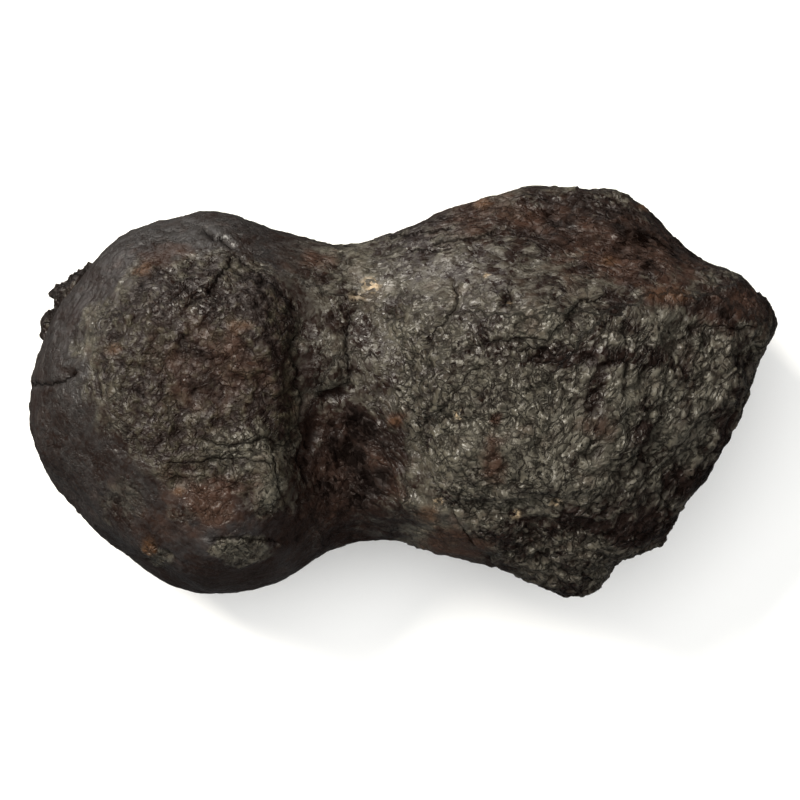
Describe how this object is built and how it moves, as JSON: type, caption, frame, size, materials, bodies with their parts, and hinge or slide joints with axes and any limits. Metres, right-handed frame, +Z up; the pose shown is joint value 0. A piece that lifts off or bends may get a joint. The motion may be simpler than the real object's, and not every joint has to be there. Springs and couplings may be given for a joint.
{
  "type": "meteorite",
  "caption": "Peanut-shaped iron meteorite with a round lobe, a narrow waist and an angular lobe, dark flaky crust, thumbprints and a torn flange; lies on its broad side.",
  "frame": {"origin": "on the surface that the stone lies on, under the middle of its bounding box", "axes": "+X along the length from the round lobe to the angular lobe, +Y across, +Z up from the surface it lies on"},
  "size_m": [0.1398, 0.0776, 0.0546],
  "materials": {
    "iron_crust": "dark brown-black oiled crust of magnetite and rust on nickel-iron, flaky and rough on the broken faces, silky on the swept shoulders"
  },
  "bodies": {
    "root": {"meteorite": "iron_crust"}
  },
  "joints": []
}
